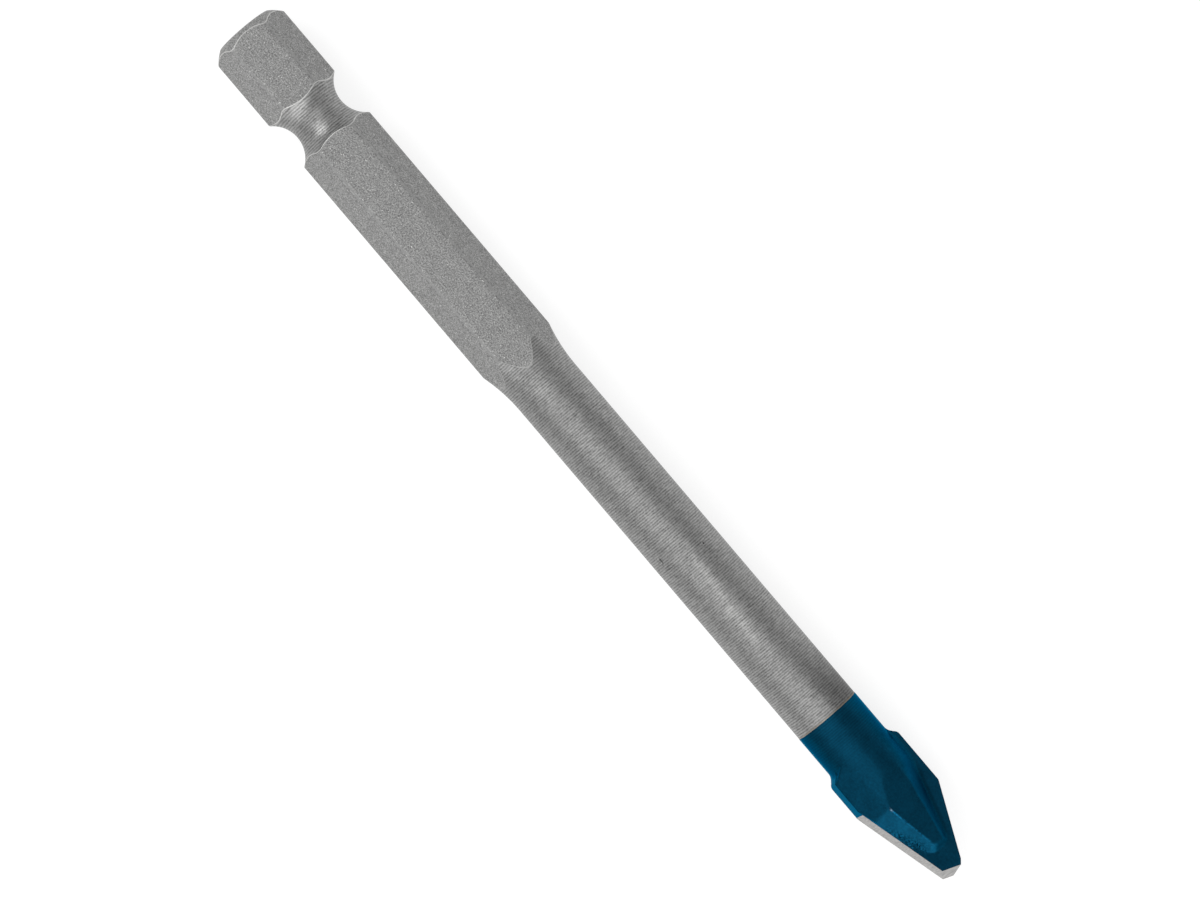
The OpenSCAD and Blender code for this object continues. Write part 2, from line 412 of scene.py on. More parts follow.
from_axis = node(VECTOR, place, (0.0, 0.0, axis_height * MM), operation="SUBTRACT")
rise, sideways = (dot(node, from_axis, facing) for facing in (through_plate, across_plate))
towards_lip = node(MATH, sideways, node(MATH, rise, operation="SIGN"), operation="MULTIPLY")
(start, wide), (stop, narrow) = HOLLOW
hollow_line = node(RANGE, station, from_rear(start), from_rear(stop), wide * MM, narrow * MM)
off_line = node(MATH, node(MATH, towards_lip, hollow_line, operation="SUBTRACT"), operation="ABSOLUTE")
rise = node(MATH, rise, operation="ABSOLUTE")
# Painted shade: the paint's colour is darkened in the hollow between the cheek and the lip.
hollow_shade = product(
    node, node(RANGE, off_line, 0.0, HOLLOW_WIDTH * MM, HOLLOW_SHADE, 0.0, interpolation_type="SMOOTHSTEP"),
    node(RANGE, station, from_rear(start - HOLLOW_FADE), from_rear(start + HOLLOW_FADE), 0.0, 1.0),
    node(RANGE, station, from_rear(stop - HOLLOW_FADE), from_rear(stop), 1.0, 0.0),
    node(RANGE, rise, HOLLOW_LOW * MM, HOLLOW_HIGH * MM, 1.0, 0.0))
blue = node(MIX, hollow_shade, blue, linear("#021722"), data_type="RGBA")
print(f"the hollow runs from {start} to {stop} mm")

# %% Lacquer: shader
PEEL_DEPTH = 0.012

bump = node("ShaderNodeBump", by_name={"Strength": 0.35, "Distance": PEEL_DEPTH * MM, "Height": surface})
coat = node("ShaderNodeBsdfPrincipled", by_name={
    "Base Color": blue, "Metallic": 1.0, "Roughness": 0.37, "Normal": bump,
    "Specular Tint": linear("#74d3f8")})
node("ShaderNodeOutputMaterial", coat)
print("lacquer has", len(lacquer.node_tree.nodes), "nodes")

# %% [markdown]
# ## Ground carbide
# Tungsten carbide is a dense grey sintered metal. The lips and the nose are ground after painting, so they
# are bare and paler than the steel, with fine wheel marks across them. Burnt paint leaves a thin brown line
# where a ground face meets a painted one, which is wherever it reaches a face of the plate.

# %% Ground carbide
WHEEL_MARK = 0.07
WHEEL_STRETCH = 0.08
MARK_DEPTH = 0.006
BURN = 0.06

carbide, node = empty_material("ground_tungsten_carbide")
place = node("ShaderNodeTexCoord").outputs["Object"]
across = node(VECTOR, place, (1.0, WHEEL_STRETCH, WHEEL_STRETCH), operation="MULTIPLY")
marks = node(NOISE, across, 1 / (WHEEL_MARK * MM), 2.0, 0.6)
shade = node(RANGE, marks, 0.3, 0.7, 0.0, 1.0)
grey = node(MIX, shade, linear("#7d7c7b"), linear("#acaba9"), data_type="RGBA")
from_axis = node(VECTOR, place, (0.0, 0.0, axis_height * MM), operation="SUBTRACT")
depth = dot(node, from_axis, through_plate)
burn = node(RANGE, node(MATH, depth, operation="ABSOLUTE"), (half_thickness - BURN) * MM, half_thickness * MM,
            0.0, 0.7)
grey = node(MIX, burn, grey, linear("#7a6651"), data_type="RGBA")
bump = node("ShaderNodeBump", by_name={"Strength": 0.3, "Distance": MARK_DEPTH * MM, "Height": marks})
ground = node("ShaderNodeBsdfPrincipled", by_name={
    "Base Color": grey, "Metallic": 1.0, "Roughness": 0.34, "Normal": bump})
node("ShaderNodeOutputMaterial", ground)
print("carbide has", len(carbide.node_tree.nodes), "nodes")

# %% [markdown]
# ## Steel bar: the sheet
# Every cross-section of the bar can be written as a radius for each angle, so the whole bar is a tube whose
# radius follows a rule. The tube starts as an unrolled sheet: X is the distance from the rear end and Y the
# angle, and only the faces close it. Rings stand close together where the shape changes and far apart on the
# plain stretches.

# %% Unrolled sheet
COLUMNS = 264
# Distance from the rear end at which a stretch of rings stops, and the room between its rings
STRETCHES = (
    (1.4, 0.07),
    (6.9, 1.5),
    (12.3, 0.09),
    (34.2, 2.8),
    (39.0, 0.12),
    (55.0, 3.3),
    (57.1, 0.05),
    (74.0, 3.2),
    (74.9, 0.05),
    (77.6, 0.7),
    (89.4, 0.066),
)

stations = [0.0]
for stop, room in STRETCHES:
    start = stations[-1]
    rings_here = round((stop - start) / room)
    stations += [start + (stop - start) * ring / rings_here for ring in range(1, rings_here + 1)]

angles = [math.tau * column / COLUMNS for column in range(COLUMNS)]
sheet_points = [(x, angle, 0.0) for x in stations for angle in angles]
sheet_faces = [tuple(reversed(range(COLUMNS)))]
for ring in range(len(stations) - 1):
    for column in range(COLUMNS):
        here, beside = ring * COLUMNS + column, ring * COLUMNS + (column + 1) % COLUMNS
        sheet_faces.append((here, beside, beside + COLUMNS, here + COLUMNS))
last_ring = (len(stations) - 1) * COLUMNS
sheet_faces.append(tuple(range(last_ring, last_ring + COLUMNS)))

sheet = bpy.data.meshes.new("shank_sheet")
sheet.from_pydata(sheet_points, [], sheet_faces)
sheet.materials.append(steel)
shank = bpy.data.objects.new("shank_dressed", sheet)
bpy.context.collection.objects.link(shank)
print(len(stations), "rings of", COLUMNS, "points")

# %% [markdown]
# ## Carbide plate: its blank
# The plate is a flat bar of carbide with slanted rear corners. Its outline is needed twice, for the slot in
# the steel and for the plate itself, so one function makes it in the head's own frame: X along the axis from
# the rear end, Y across the plate and Z through its thickness.

# %% Plate blank
PLATE_WIDTH = 7.0
PLATE_CORNER_LENGTH = 0.55
PLATE_CORNER_WIDTH = 0.6

plate_rear = overall_length - plate_length
corner_end = plate_rear + PLATE_CORNER_LENGTH
plate_rear_half = PLATE_WIDTH / 2 - PLATE_CORNER_WIDTH
head_to_bit = Matrix.Translation((rear_end, 0.0, axis_height)) @ Matrix.Rotation(
    -math.radians(HEAD_TURN), 4, "X")


def plate_blank(inset, front):
    """A bmesh of the plate before grinding, smaller by inset on each side, up to a front edge."""
    half, rear_half = PLATE_WIDTH / 2 - inset, plate_rear_half - inset
    outline = [(front, half), (corner_end, half), (plate_rear + inset, rear_half)]
    outline += [(x, -y) for x, y in reversed(outline)]
    blank = bmesh.new()
    lower = blank.faces.new([blank.verts.new((x, y, inset - half_thickness)) for x, y in outline])
    raised = bmesh.ops.extrude_face_region(blank, geom=[lower])["geom"]
    rise = Vector((0.0, 0.0, PLATE_THICKNESS - 2 * inset))
    bmesh.ops.translate(blank, verts=[v for v in raised if isinstance(v, bmesh.types.BMVert)], vec=rise)
    bmesh.ops.recalc_face_normals(blank, faces=blank.faces)
    return blank


def finished_mesh(name, blank):
    """The mesh of a bmesh in the head's frame, moved to the bit's place in metres."""
    bmesh.ops.transform(blank, matrix=Matrix.Scale(MM, 4) @ head_to_bit, verts=blank.verts)
    mesh = bpy.data.meshes.new(name)
    blank.to_mesh(mesh)
    blank.free()
    return mesh


print(f"plate from {plate_rear:.2f} mm to {overall_length:.2f} mm, {PLATE_WIDTH} mm wide")

# %% [markdown]
# ## Carbide plate: its grind
# Four planes are ground on the plate, two lips and two nose bevels, and each leans back behind its edge. The
# grinding wheel also takes the paint and braze beyond the lips, so the steel bar needs those planes too. Here
# they become cutting tools: one with the shape of the slot, and a block beyond each lip.

# %% Grinding planes
LIP_RELIEF = 4.5
LONG_LIP_ANGLE, SHORT_LIP_ANGLE = 14.8, 25.4
LONG_NOSE_ANGLE, SHORT_NOSE_ANGLE = 69.0, 41.0
LONG_NOSE_RELIEF = 19.0
LONG_NOSE_WIDTH, SHORT_NOSE_WIDTH = 1.27, 0.58
POINT_OFFSET = 0.37

long_setback = (LONG_NOSE_WIDTH - POINT_OFFSET) / math.tan(math.radians(LONG_NOSE_ANGLE))
bevel_shift = PLATE_THICKNESS * math.tan(math.radians(LIP_RELIEF)) / math.cos(math.radians(SHORT_NOSE_ANGLE))
short_setback = (SHORT_NOSE_WIDTH + POINT_OFFSET - bevel_shift) / math.tan(math.radians(SHORT_NOSE_ANGLE))

# Angle to the axis, relief, a point of the cut, and whether the plate is turned over for it
GRINDS = {
    "short lip": (SHORT_LIP_ANGLE, LIP_RELIEF,
                  (overall_length - short_setback, SHORT_NOSE_WIDTH, half_thickness), False),
    "short nose": (SHORT_NOSE_ANGLE, LIP_RELIEF, (overall_length, -POINT_OFFSET, -half_thickness), False),
    "long lip": (LONG_LIP_ANGLE, LIP_RELIEF,
                 (overall_length - long_setback, LONG_NOSE_WIDTH, half_thickness), True),
    "long nose": (LONG_NOSE_ANGLE, LONG_NOSE_RELIEF, (overall_length, POINT_OFFSET, half_thickness), True),
}
grind_planes = {}
for name, (turn, relief, point, turned_over) in GRINDS.items():
    turn, relief = math.radians(turn), math.radians(relief)
    facing = Vector((math.sin(turn) * math.cos(relief), math.cos(turn) * math.cos(relief), -math.sin(relief)))
    point = Vector(point)
    if turned_over:
        facing.yz, point.yz = -facing.yz, -point.yz
    grind_planes[name] = (point, facing)
print({name: [round(c, 3) for c in facing] for name, (point, facing) in grind_planes.items()})

# %% Slot and lip cutters
SLOT_INSET = 0.008
SLOT_FRONT = 100.0
BLOCK = 24.0

blanks = {"slot_cutter": plate_blank(SLOT_INSET, SLOT_FRONT)}
for name in ("short lip", "long lip"):
    point, facing = grind_planes[name]
    block = bmesh.new()
    bmesh.ops.create_cube(block, size=BLOCK)
    turn = facing.to_track_quat("Z", "Y").to_matrix().to_4x4()
    beyond = Matrix.Translation(point + facing * BLOCK / 2) @ turn
    bmesh.ops.transform(block, matrix=beyond, verts=block.verts)
    blanks[name.replace(" ", "_") + "_cutter"] = block

cutters = []
for name, blank in blanks.items():
    cutter = bpy.data.objects.new(name, finished_mesh(name, blank))
    cutter.data.materials.append(steel)
    bpy.context.collection.objects.link(cutter)
    cutters.append(cutter)
print("cutters:", [cutter.name for cutter in cutters])

# %% [markdown]
# ## Steel bar: the rule
# The tree works out, for each point of the sheet, how far every cutting surface lies from the axis: hex
# flats, rounded corners, crown, groove, run-out and the planes of a cheek. The smallest radius wins, as
# the deepest cut does on a lathe. A smooth minimum in place of a sharp one breaks the edges. The main sizes
# are named inputs of the tree, and its modifier sets them.

# %% Sizes of the bar
CORNER_RELIEF = 0.12
HEX_LENGTH = 34.75
RUNOUT_RADIUS = 15.0
SHAFT_RADIUS = 3.0
END_FLAT_RADIUS = 2.6
CROWN_RADIUS = 4.55
GROOVE_NECK_RADIUS = 2.375
NOSE_SETBACK = 2.65

corner_radius = axis_height / math.cos(math.pi / 6) - CORNER_RELIEF
runout_ring = SHAFT_RADIUS + RUNOUT_RADIUS
runout_end = HEX_LENGTH + math.sqrt(RUNOUT_RADIUS ** 2 - (runout_ring - corner_radius) ** 2)
cheek_end = overall_length - NOSE_SETBACK
BAR_SIZES = {
    "Hex Half Width": axis_height,
    "Corner Radius": corner_radius,
    "Crown Centre": math.sqrt(CROWN_RADIUS ** 2 - END_FLAT_RADIUS ** 2),
    "Crown Radius": CROWN_RADIUS,
    "Groove Middle": 9.6,
    "Groove Radius": 2.7,
    "Groove Neck Radius": GROOVE_NECK_RADIUS,
    "Runout End": runout_end,
    "Runout Radius": RUNOUT_RADIUS,
    "Shaft Radius": SHAFT_RADIUS,
    "Edge Softness": 0.05,
    "Corner Softness": 0.05,
    "Head Turn": math.radians(HEAD_TURN),
    "Shoulder Fillet": 0.75,
    "Heel Fillet": 0.5,
    "Lip Shoulder Fillet": 1.8,
    "Lip Fillet": 0.75,
    "Plate Corner Softness": 0.22,
    "Core Inset": 0.03,
    "Braze Roughness": 0.55,
    "Paint Line": PAINT_LINE,
    "Paint Film": 0.02,
    "Paint Waviness": 0.10,
}

# The planes of a cheek: turn from the axis, steepness against the plate, side, how softly its edges are
# rounded, and a point on it. Two small planes break the corners of the nose.
CHEEK_PLANES = {
    "Flat": (90.0, 10.6, 1, 0.12, (overall_length - 10.5, 0.0, SHAFT_RADIUS)),
    "Nose": (90.0, 47.0, 1, 0.30, (cheek_end + 0.05, 0.0, half_thickness)),
    "Nose Lip Corner": (59.0, 46.0, 1, 0.30, (cheek_end, 0.78, half_thickness)),
    "Nose Heel Corner": (52.0, 45.0, -1, 0.35, (cheek_end - 0.10, -0.90, half_thickness)),
    "Lip Side": (17.0, 50.0, 1, 0.30, (cheek_end, 0.78, half_thickness)),
    "Heel Side": (25.7, 40.4, -1, 0.10, (cheek_end, -1.07, half_thickness)),
}
for name, (turn, slope, side, softness, point) in CHEEK_PLANES.items():
    turn, slope = math.radians(turn), math.radians(slope)
    BAR_SIZES[name + " Point"] = point
    BAR_SIZES[name + " Facing"] = (
        math.sin(turn) * math.sin(slope), side * math.cos(turn) * math.sin(slope), math.cos(slope))
    BAR_SIZES[name + " Softness"] = softness
print(len(BAR_SIZES), "inputs; the run-out ends", round(runout_end, 2), "mm from the rear end")

# %% Bar tree: inputs
bar_tree = bpy.data.node_groups.new("turned_bar", "GeometryNodeTree")
bar_tree.interface.new_socket("Sheet", in_out="INPUT", socket_type="NodeSocketGeometry")
bar_tree.interface.new_socket("Bar", in_out="OUTPUT", socket_type="NodeSocketGeometry")
bar_inputs = {}
for name, value in BAR_SIZES.items():
    kind = "NodeSocketVector" if isinstance(value, tuple) else "NodeSocketFloat"
    bar_inputs[name] = bar_tree.interface.new_socket(name, in_out="INPUT", socket_type=kind)
node = functools.partial(add_node, bar_tree)
size = node("NodeGroupInput").outputs
sheet_place = node("ShaderNodeSeparateXYZ", node("GeometryNodeInputPosition"))
x, angle = sheet_place.outputs["X"], sheet_place.outputs["Y"]

# %% Bar tree: hex, crown, groove and run-out
def arc_height(distance, radius):
    """How far a circle stands above its middle at a distance from it, or 0 beyond its edge."""
    square = node(MATH, distance, distance, operation="MULTIPLY")
    room = node(MATH, node(MATH, radius, radius, operation="MULTIPLY"), square, operation="SUBTRACT")
    return node(MATH, room, operation="SQRT")


from_flat = node(MATH, node(MATH, angle, math.pi / 2, operation="SUBTRACT"), math.pi / 6, -math.pi / 6,
                 operation="WRAP")
flats = node(MATH, size["Hex Half Width"], node(MATH, from_flat, operation="COSINE"), operation="DIVIDE")
hexagon = node(MATH, flats, size["Corner Radius"], size["Corner Softness"], operation="SMOOTH_MIN")

behind_crown = node(MATH, node(MATH, x, size["Crown Centre"], operation="SUBTRACT"), 0.0, operation="MINIMUM")
crown = arc_height(behind_crown, size["Crown Radius"])

groove_ring = node(MATH, size["Groove Neck Radius"], size["Groove Radius"], operation="ADD")
from_groove = node(MATH, x, size["Groove Middle"], operation="SUBTRACT")
groove = node(MATH, groove_ring, arc_height(from_groove, size["Groove Radius"]), operation="SUBTRACT")

runout_middle = node(MATH, size["Shaft Radius"], size["Runout Radius"], operation="ADD")
before_end = node(MATH, node(MATH, x, size["Runout End"], operation="SUBTRACT"), 0.0, operation="MINIMUM")
runout = node(MATH, runout_middle, arc_height(before_end, size["Runout Radius"]), operation="SUBTRACT")

bar = hexagon
for cut in (crown, groove, runout):
    bar = node(MATH, bar, cut, size["Edge Softness"], operation="SMOOTH_MIN")

# %% Bar tree: distances from the edges
turned_gap = node(MATH, hexagon, node(MATH, groove, runout, operation="MINIMUM"), operation="SUBTRACT")
cut_gap = node(MATH, hexagon, node(MATH, crown, groove, operation="MINIMUM"), operation="SUBTRACT")
scallop_gap = node(MATH, hexagon, runout, operation="SUBTRACT")
corner_gap = node(MATH, flats, size["Corner Radius"], operation="SUBTRACT")

# %% [markdown]
# ## Steel bar: the head
# Both cheeks are the same, half a turn apart. So the tree works in the head's own frame and folds the lower
# half onto the upper one: up is how far a point's direction rises from the plate, and sideways is positive
# towards the lip that cuts on this face and negative towards the heel of the other lip. A smooth maximum of
# the cheek and the plate's own outline leaves the fillets of braze and paint between the two.

# %% Bar tree: frame of the head
# Least values of slopes that are divided by
LEAST_SLANT, LEAST_SINE = 0.02, 0.001

head_angle = node(MATH, angle, size["Head Turn"], operation="ADD")
head_cosine = node(MATH, head_angle, operation="COSINE")
head_sine = node(MATH, head_angle, operation="SINE")
below = node(MATH, head_sine, 0.0, operation="LESS_THAN")
side_sign = node(MATH, below, -2.0, 1.0, operation="MULTIPLY_ADD")
up = node(MATH, node(MATH, head_sine, operation="ABSOLUTE"), LEAST_SINE, operation="MAXIMUM")
sideways = node(MATH, head_cosine, side_sign, operation="MULTIPLY")
outward = node("ShaderNodeCombineXYZ", 0.0, sideways, up)
on_axis = node("ShaderNodeCombineXYZ", x, 0.0, 0.0)

# %% Bar tree: outline of the plate
corner_slope = PLATE_CORNER_WIDTH / PLATE_CORNER_LENGTH

level = node(MATH, half_thickness, size["Core Inset"], operation="SUBTRACT")
face = node(MATH, level, up, operation="DIVIDE")
level_side = node(MATH, node(MATH, head_cosine, operation="ABSOLUTE"), LEAST_SINE, operation="MAXIMUM")
reach = node(MATH, node(MATH, x, plate_rear, operation="SUBTRACT"), corner_slope, plate_rear_half,
             operation="MULTIPLY_ADD")
reach = node(MATH, reach, PLATE_WIDTH / 2, size["Plate Corner Softness"], operation="SMOOTH_MIN")
reach = node(MATH, node(MATH, reach, 0.0, operation="MAXIMUM"), size["Core Inset"], operation="SUBTRACT")
margin = node(MATH, reach, level_side, operation="DIVIDE")
core = node(MATH, face, margin, operation="MINIMUM")

# %% Bar tree: shoulder by the heel
SHOULDER_SOFTNESS = 0.3

# By the heel, braze and paint run straight from the round shaft to the edge of the plate.
to_edge = math.atan2(half_thickness, PLATE_WIDTH / 2)
touch = to_edge + math.acos(SHAFT_RADIUS / math.hypot(half_thickness, PLATE_WIDTH / 2))
slant = dot(node, outward, (0.0, -math.cos(touch), math.sin(touch)))
slant = node(MATH, slant, LEAST_SLANT, operation="MAXIMUM")
shoulder = node(MATH, size["Shaft Radius"], slant, operation="DIVIDE")
shoulder = node(MATH, shoulder, margin, SHOULDER_SOFTNESS, operation="SMOOTH_MIN")
shoulder = node(MATH, node(MATH, shoulder, bar, operation="SUBTRACT"), 0.0, operation="MAXIMUM")
shoulder = product(node, shoulder, node(MATH, up, math.sin(touch), operation="LESS_THAN"),
                   node(MATH, sideways, 0.0, operation="LESS_THAN"))

# %% Bar tree: cheeks
planes = {}
for name in CHEEK_PLANES:
    to_plane = node(VECTOR, size[name + " Point"], on_axis, operation="SUBTRACT")
    depth = dot(node, to_plane, size[name + " Facing"])
    slant = dot(node, outward, size[name + " Facing"])
    planes[name] = node(MATH, node(MATH, depth, 0.0, operation="MAXIMUM"),
                        node(MATH, slant, LEAST_SLANT, operation="MAXIMUM"), operation="DIVIDE")

cheek = node(MATH, bar, shoulder, operation="ADD")
for name in CHEEK_PLANES:
    cheek = node(MATH, cheek, planes[name], size[name + " Softness"], operation="SMOOTH_MIN")
ridge_gap = node(MATH, planes["Flat"], planes["Heel Side"], operation="SUBTRACT")
cut_depth = node(MATH, planes["Flat"], planes["Heel Side"], operation="MINIMUM")
cut_depth = node(MATH, bar, cut_depth, operation="SUBTRACT")

# %% Bar tree: fillets to the plate
# Distances from the rear end between which the fillet by the lip gets smaller
FILLET_FROM, FILLET_TO = 80.8, 83.6
# Towards the nose all fillets shrink to a share of their size.
NOSE_FROM, NOSE_TO = cheek_end - 2.0, cheek_end - 0.5
NOSE_SHARE = 0.6
# Cosine on both sides of the top over which the heel's fillet turns into the lip's
SIDE_BLEND = 0.3
# Sine of the angle from the plate's middle plane, at its edge and where the fillets are full
EDGE_SINE, FACE_SINE = 0.27, 0.36
CORNER_RUN = 0.4

lip_fillet = node(RANGE, x, FILLET_FROM, FILLET_TO, size["Lip Shoulder Fillet"], size["Lip Fillet"])
by_lip = node(RANGE, sideways, -SIDE_BLEND, SIDE_BLEND, 0.0, 1.0)
fillet = node(MIX, by_lip, size["Heel Fillet"], lip_fillet)
fillet = product(node, fillet, node(RANGE, x, NOSE_FROM, NOSE_TO, 1.0, NOSE_SHARE))
on_face = node(RANGE, up, EDGE_SINE, FACE_SINE, 0.0, 1.0, interpolation_type="SMOOTHSTEP")
past_corner = node(
    RANGE, x, plate_rear, corner_end + CORNER_RUN, 0.0, 1.0, interpolation_type="SMOOTHSTEP")
fillet = node(MIX, product(node, on_face, past_corner), size["Shoulder Fillet"], fillet)
head = node(MATH, cheek, core, fillet, operation="SMOOTH_MAX")

# %% [markdown]
# ## Steel bar: marks and place
# The finished radius still gets its small marks: two dents, rough beads of braze at the foot of the cheek by
# the heel, and a film of paint with a slightly wavy rear edge. Then distance, angle and radius are turned
# into a place in the bit's frame, in metres.

# %% Bar tree: dents
# Distance from the rear end, angle, half length, half width and depth of each dent in the shaft
DENTS = ((55.69, 2.390, 0.3, 0.10, 0.16), (56.82, 1.051, 0.10, 0.10, 0.10))

dented = head
# dent_shade carries the shape of the dents to the steel's colour, which paints shade into them.
dent_shade = 0.0
for at, bearing, half_length, half_width, deep in DENTS:
    along = node(MATH, node(MATH, x, at, operation="SUBTRACT"), half_length, operation="DIVIDE")
    across = product(node, node(MATH, angle, bearing, operation="SUBTRACT"), SHAFT_RADIUS / half_width)
    square = node(MATH, across, across, product(node, along, along), operation="MULTIPLY_ADD")
    dent = node(MATH, math.e, product(node, square, -1.0), operation="POWER")
    dented = node(MATH, dent, -deep, dented, operation="MULTIPLY_ADD")
    dent_shade = node(MATH, dent, dent_shade, operation="MAXIMUM")

# %% Bar tree: rough braze
# Size of the beads of braze, and how high above the plate they reach
BRAZE_LUMP = 0.17
BRAZE_REACH = 0.6
# Distances from the rear end between which the beads start, and between which they stop
BRAZE_START, BRAZE_STOP = (83.8, 84.8), (cheek_end - 1.2, cheek_end - 0.2)
# Cosine over which they fade in from the top towards the heel
HEEL_BLEND = 0.2

cosine, sine = node(MATH, angle, operation="COSINE"), node(MATH, angle, operation="SINE")
lump_place = node("ShaderNodeCombineXYZ", x, product(node, cosine, dented), product(node, sine, dented))
lumps = node(NOISE, lump_place, 1 / BRAZE_LUMP, 2.0, 0.6)
above_plate = node(MATH, product(node, cheek, up), half_thickness, operation="SUBTRACT")
from_foot = node(MATH, above_plate, operation="ABSOLUTE")
lumps = product(
    node, node(MATH, lumps, 0.5, operation="SUBTRACT"), size["Braze Roughness"],
    node(RANGE, from_foot, 0.0, BRAZE_REACH, 1.0, 0.0), node(RANGE, sideways, -HEEL_BLEND, 0.0, 1.0, 0.0),
    node(RANGE, x, *BRAZE_START, 0.0, 1.0), node(RANGE, x, *BRAZE_STOP, 1.0, 0.0))

# %% Bar tree: paint film and place
# Lengths over which the film gets its thickness and over which the waves of its edge die out
LINE_BLEND, LINE_REACH = 0.05, 0.35
WAVES_AROUND = 2.5
# Room that the paint on the bar leaves to the margins of the plate
MARGIN_CLEAR = 0.015

past_line = node(MATH, x, size["Paint Line"], operation="SUBTRACT")
film = product(node, node(RANGE, past_line, 0.0, LINE_BLEND, 0.0, 1.0), size["Paint Film"])
radius = node(MATH, node(MATH, dented, lumps, operation="ADD"), film, operation="ADD")
inside_margin = node(MATH, PLATE_WIDTH / 2 - MARGIN_CLEAR, level_side, operation="DIVIDE")
radius = node(MATH, radius, inside_margin, operation="MINIMUM")

near_line = node(RANGE, node(MATH, past_line, operation="ABSOLUTE"), 0.0, LINE_REACH, 1.0, 0.0)
waves = node(NOISE, node("ShaderNodeCombineXYZ", cosine, sine, 0.0), WAVES_AROUND, 3.0, 0.6)
waves = product(node, node(MATH, waves, 0.5, operation="SUBTRACT"), near_line, size["Paint Waviness"])
rolled = node("ShaderNodeCombineXYZ", node(MATH, x, waves, operation="ADD"),
              product(node, cosine, radius), product(node, sine, radius))
placed = node(VECTOR, rolled, (rear_end, 0.0, axis_height), operation="ADD")
placed = node(VECTOR, placed, by_name={"Scale": MM}, operation="SCALE")

# %% [markdown]
# ## Steel bar: cuts and materials
# The distances are stored on the points before the sheet is rolled up, so that the steel's shader can read
# them. Booleans then cut the slot and the lips, and each face gets steel or paint.

# %% Bar tree: attributes and cuts
PAINT_SLACK = 0.001
CRUMB_FACES = 1000

mesh = size["Sheet"]
paint_start = node(MATH, size["Paint Line"], PAINT_SLACK, operation="SUBTRACT")
painted = node(MATH, x, paint_start, operation="GREATER_THAN")
for name, value in {"turned_gap": turned_gap, "cut_gap": cut_gap, "scallop_gap": scallop_gap,
                    "corner_gap": corner_gap, "dent": dent_shade, "ridge_gap": ridge_gap, "cut_depth": cut_depth,
                    "painted": painted}.items():
    mesh = node("GeometryNodeStoreNamedAttribute", by_name={"Geometry": mesh, "Name": name, "Value": value},
                data_type="FLOAT", domain="POINT")
mesh = node("GeometryNodeSetPosition", by_name={"Geometry": mesh, "Position": placed})
for cutter in cutters:
    tool = node("GeometryNodeObjectInfo", by_name={"Object": cutter}).outputs["Geometry"]
    mesh = node("GeometryNodeMeshBoolean", by_name={"Mesh 1": mesh, "Mesh 2": tool},
                operation="DIFFERENCE", solver="MANIFOLD")

# The cutters leave a few loose crumbs of the bar on the plate. They are islands with few faces.
island = node("GeometryNodeInputMeshIsland").outputs["Island Index"]
faces_in_island = node("GeometryNodeAccumulateField", by_name={"Value": 1.0, "Group ID": island},
                       data_type="FLOAT", domain="FACE").outputs["Total"]
crumb = node(MATH, faces_in_island, CRUMB_FACES, operation="LESS_THAN")
mesh = node("GeometryNodeDeleteGeometry", by_name={"Geometry": mesh, "Selection": crumb}, domain="FACE")

# %% Bar tree: shading and materials
SHARP_ANGLE = math.radians(38.0)
WHOLLY = 0.999
# The cut faces of the slot have no attributes, so paint is also laid on all faces near the plate.
HEAD_START = plate_rear - 1.0

mesh = node("GeometryNodeSetShadeSmooth", by_name={"Geometry": mesh, "Shade Smooth": True}, domain="FACE")
crisp = node(MATH, node("GeometryNodeInputMeshEdgeAngle"), SHARP_ANGLE, operation="GREATER_THAN")
mesh = node("GeometryNodeSetShadeSmooth",
            by_name={"Geometry": mesh, "Selection": crisp, "Shade Smooth": False}, domain="EDGE")
is_painted = node("GeometryNodeInputNamedAttribute", by_name={"Name": "painted"}, data_type="FLOAT")
is_painted = node(MATH, is_painted, WHOLLY, operation="GREATER_THAN")
in_head = node("ShaderNodeSeparateXYZ", node("GeometryNodeInputPosition")).outputs["X"]
in_head = node(MATH, in_head, from_rear(HEAD_START), operation="GREATER_THAN")
is_painted = node(MATH, is_painted, in_head, operation="MAXIMUM")
mesh = node("GeometryNodeRealizeInstances", mesh)
mesh = node("GeometryNodeSetMaterial", by_name={"Geometry": mesh, "Material": steel})
mesh = node("GeometryNodeSetMaterial",
            by_name={"Geometry": mesh, "Selection": is_painted, "Material": lacquer})
node("NodeGroupOutput", mesh)
print("bar tree has", len(bar_tree.nodes), "nodes")

# %% Roll up the bar
roll = shank.modifiers.new("turned_bar", "NODES")
roll.node_group = bar_tree
for name, value in BAR_SIZES.items():
    roll[bar_inputs[name].identifier] = value
depsgraph = bpy.context.evaluated_depsgraph_get()
rolled_mesh = bpy.data.meshes.new_from_object(shank.evaluated_get(depsgraph))
shank.modifiers.remove(roll)
shank.data = rolled_mesh
rolled_mesh.name = "shank_dressed"
for cutter in cutters:
    bpy.data.objects.remove(cutter)
rolled_mesh.calc_loop_triangles()
print(len(rolled_mesh.loop_triangles), "triangles in the bar,", [m.name for m in rolled_mesh.materials])

# %% [markdown]
# ## Carbide plate
# The plate is cut as a tool grinder would do it: start from the painted blank and take off everything beyond
# the four planes. Each cut face is bare, so it gets the carbide material. Painted edges are rounded a
# little by a Bevel modifier, which reads a weight from each edge, and ground edges stay sharp.

# %% Grind the plate
CORNER_ROUNDING = 0.22
OVERRUN = 0.12
CLOSE = 1e-6
SOFT_ANGLE = math.radians(20.0)

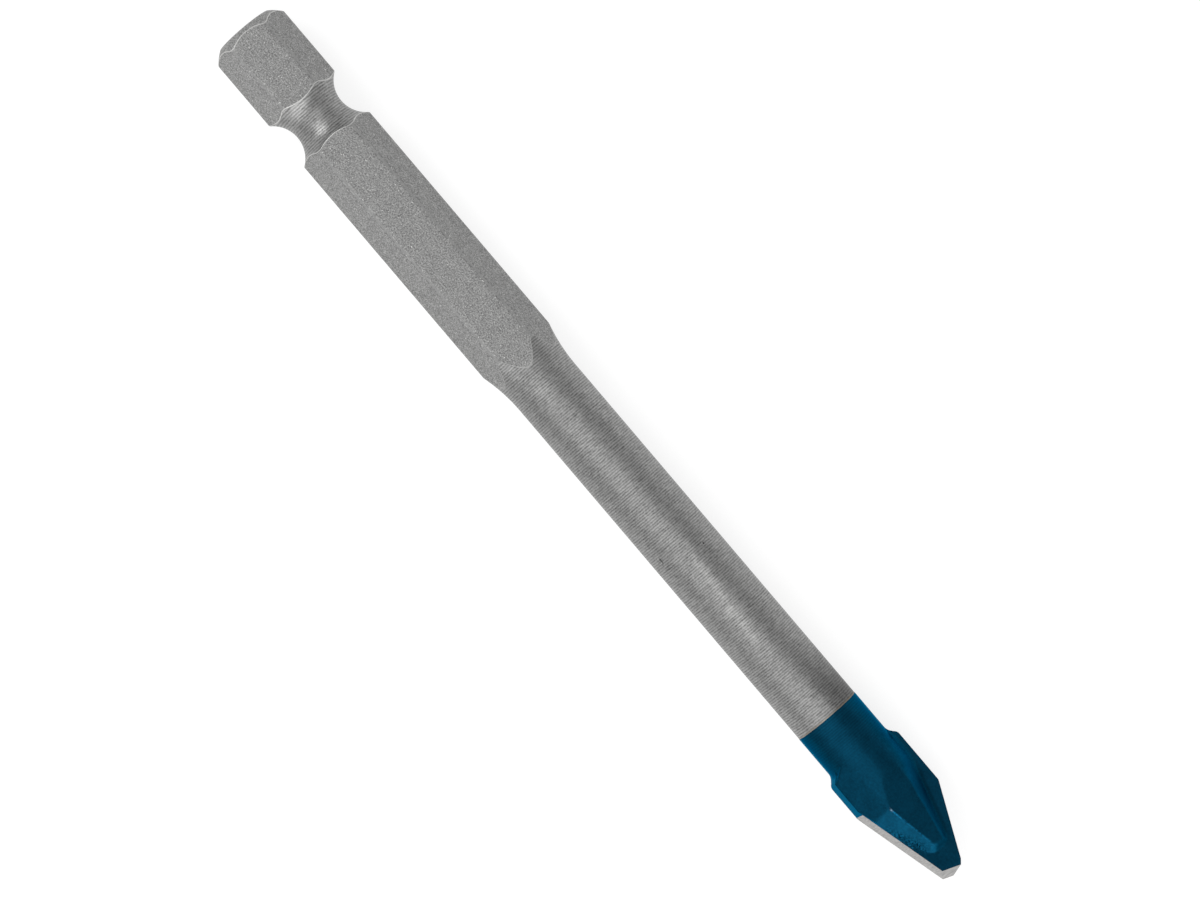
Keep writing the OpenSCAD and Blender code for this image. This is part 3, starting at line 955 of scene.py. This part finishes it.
plate = plate_blank(0.0, overall_length)
corners = [edge for edge in plate.edges if all(
    math.isclose(vert.co.x, corner_end, abs_tol=1e-5) for vert in edge.verts) and abs(
    edge.verts[0].co.z - edge.verts[1].co.z) > half_thickness]
bmesh.ops.bevel(plate, geom=corners, offset=CORNER_ROUNDING, offset_type="OFFSET", segments=5, profile=0.5,
                affect="EDGES")
for point, facing in grind_planes.values():
    whole = plate.verts[:] + plate.edges[:] + plate.faces[:]
    bmesh.ops.bisect_plane(plate, geom=whole, dist=CLOSE, plane_co=point, plane_no=facing, clear_outer=True)
    rim = [edge for edge in plate.edges if edge.is_boundary]
    for new_face in bmesh.ops.holes_fill(plate, edges=rim)["faces"]:
        new_face.material_index = 1
bmesh.ops.recalc_face_normals(plate, faces=plate.faces)

# The grinding stops square to the axis at the rear end of each lip, so the flank is painted behind it.
for name, lip_angle in (("short lip", SHORT_LIP_ANGLE), ("long lip", LONG_LIP_ANGLE)):
    point, facing = grind_planes[name]
    lip_end = point.x - (PLATE_WIDTH / 2 - abs(point.y)) / math.tan(math.radians(lip_angle)) - OVERRUN
    whole = plate.verts[:] + plate.edges[:] + plate.faces[:]
    bmesh.ops.bisect_plane(
        plate, geom=whole, dist=CLOSE, plane_co=(lip_end, 0.0, 0.0), plane_no=(1.0, 0.0, 0.0))
    for flank in plate.faces:
        if flank.material_index and flank.calc_center_median().x < lip_end and flank.normal.y * facing.y > 0:
            flank.material_index = 0

edge_weight = plate.edges.layers.float.new("bevel_weight_edge")
for edge in plate.edges:
    bare = any(face.material_index for face in edge.link_faces)
    edge.smooth = not bare
    edge[edge_weight] = 0.0 if bare or edge.calc_face_angle() < SOFT_ANGLE else 1.0
print("plate has", len(plate.faces), "faces,", sum(f.material_index for f in plate.faces), "of them ground")

# %% Break the plate's edges
EDGE_BREAK = 0.05

tip = bpy.data.objects.new("carbide_tip_dressed", finished_mesh("carbide_tip_dressed", plate))
bpy.context.collection.objects.link(tip)
tip.data.materials.append(lacquer)
tip.data.materials.append(carbide)
tip.data.shade_smooth()
bevel = tip.modifiers.new("edge_break", "BEVEL")
bevel.width = EDGE_BREAK * MM
bevel.segments = 3
bevel.limit_method = "WEIGHT"
bevel.harden_normals = True
depsgraph = bpy.context.evaluated_depsgraph_get()
beveled = bpy.data.meshes.new_from_object(tip.evaluated_get(depsgraph))
tip.modifiers.remove(bevel)
tip.data = beveled
beveled.name = "carbide_tip_dressed"
print(len(beveled.polygons), "faces in the plate")

# %% [markdown]
# ## Join the frame
# Both pieces belong to the one body of the bit. Each stands for its CAD node, which stays in the model for
# collisions and is hidden.

# %% Hand over the pieces
for piece, cad_node, slot in ((shank, "shank", "turned_steel"), (tip, "carbide_tip", "painted_carbide")):
    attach(piece, "root")
    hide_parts(cad_node)
